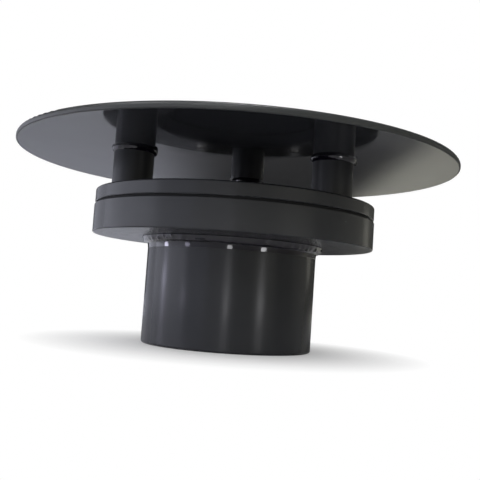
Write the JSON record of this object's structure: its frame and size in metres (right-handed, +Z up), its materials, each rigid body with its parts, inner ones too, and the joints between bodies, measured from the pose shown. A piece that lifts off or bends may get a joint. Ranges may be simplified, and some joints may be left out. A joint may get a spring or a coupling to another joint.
{
  "type": "pond bottom drain",
  "caption": "Dark grey PVC pond bottom drain: flat round cover on tube legs over a flange with gasket and screwed clamp ring, with a plain outlet pipe below.",
  "frame": {"origin": "centre of the outlet pipe's lower end, on the surface the drain stands on", "axes": "+Z up along the pipe's axis to the cover; +X to the right and +Y away, as seen from the picture's side"},
  "size_m": [0.283, 0.283, 0.1236],
  "materials": {
    "pvc_extruded": "extruded dark grey PVC, satin with fine lengthwise draw lines",
    "pvc_turned": "turned dark grey PVC, satin with fine tool rings",
    "pvc_sheet": "pressed dark grey PVC sheet, glossy",
    "solvent_cement": "set dark grey solvent cement, glossy and lumpy",
    "gasket_rubber": "black sheet rubber, matt",
    "stainless_steel": "bright stainless steel"
  },
  "bodies": {
    "root": {"outlet_pipe": "pvc_extruded", "pipe_cement_fillet": "solvent_cement", "lower_flange": "pvc_turned", "gasket": "gasket_rubber", "clamp_ring": "pvc_turned", "clamp_screws": "stainless_steel", "cover_disc": "pvc_sheet", "leg_1": "pvc_extruded", "leg_2": "pvc_extruded", "leg_3": "pvc_extruded", "leg_cement_bead_1": "solvent_cement", "leg_cement_bead_2": "solvent_cement", "leg_cement_bead_3": "solvent_cement"}
  },
  "joints": []
}
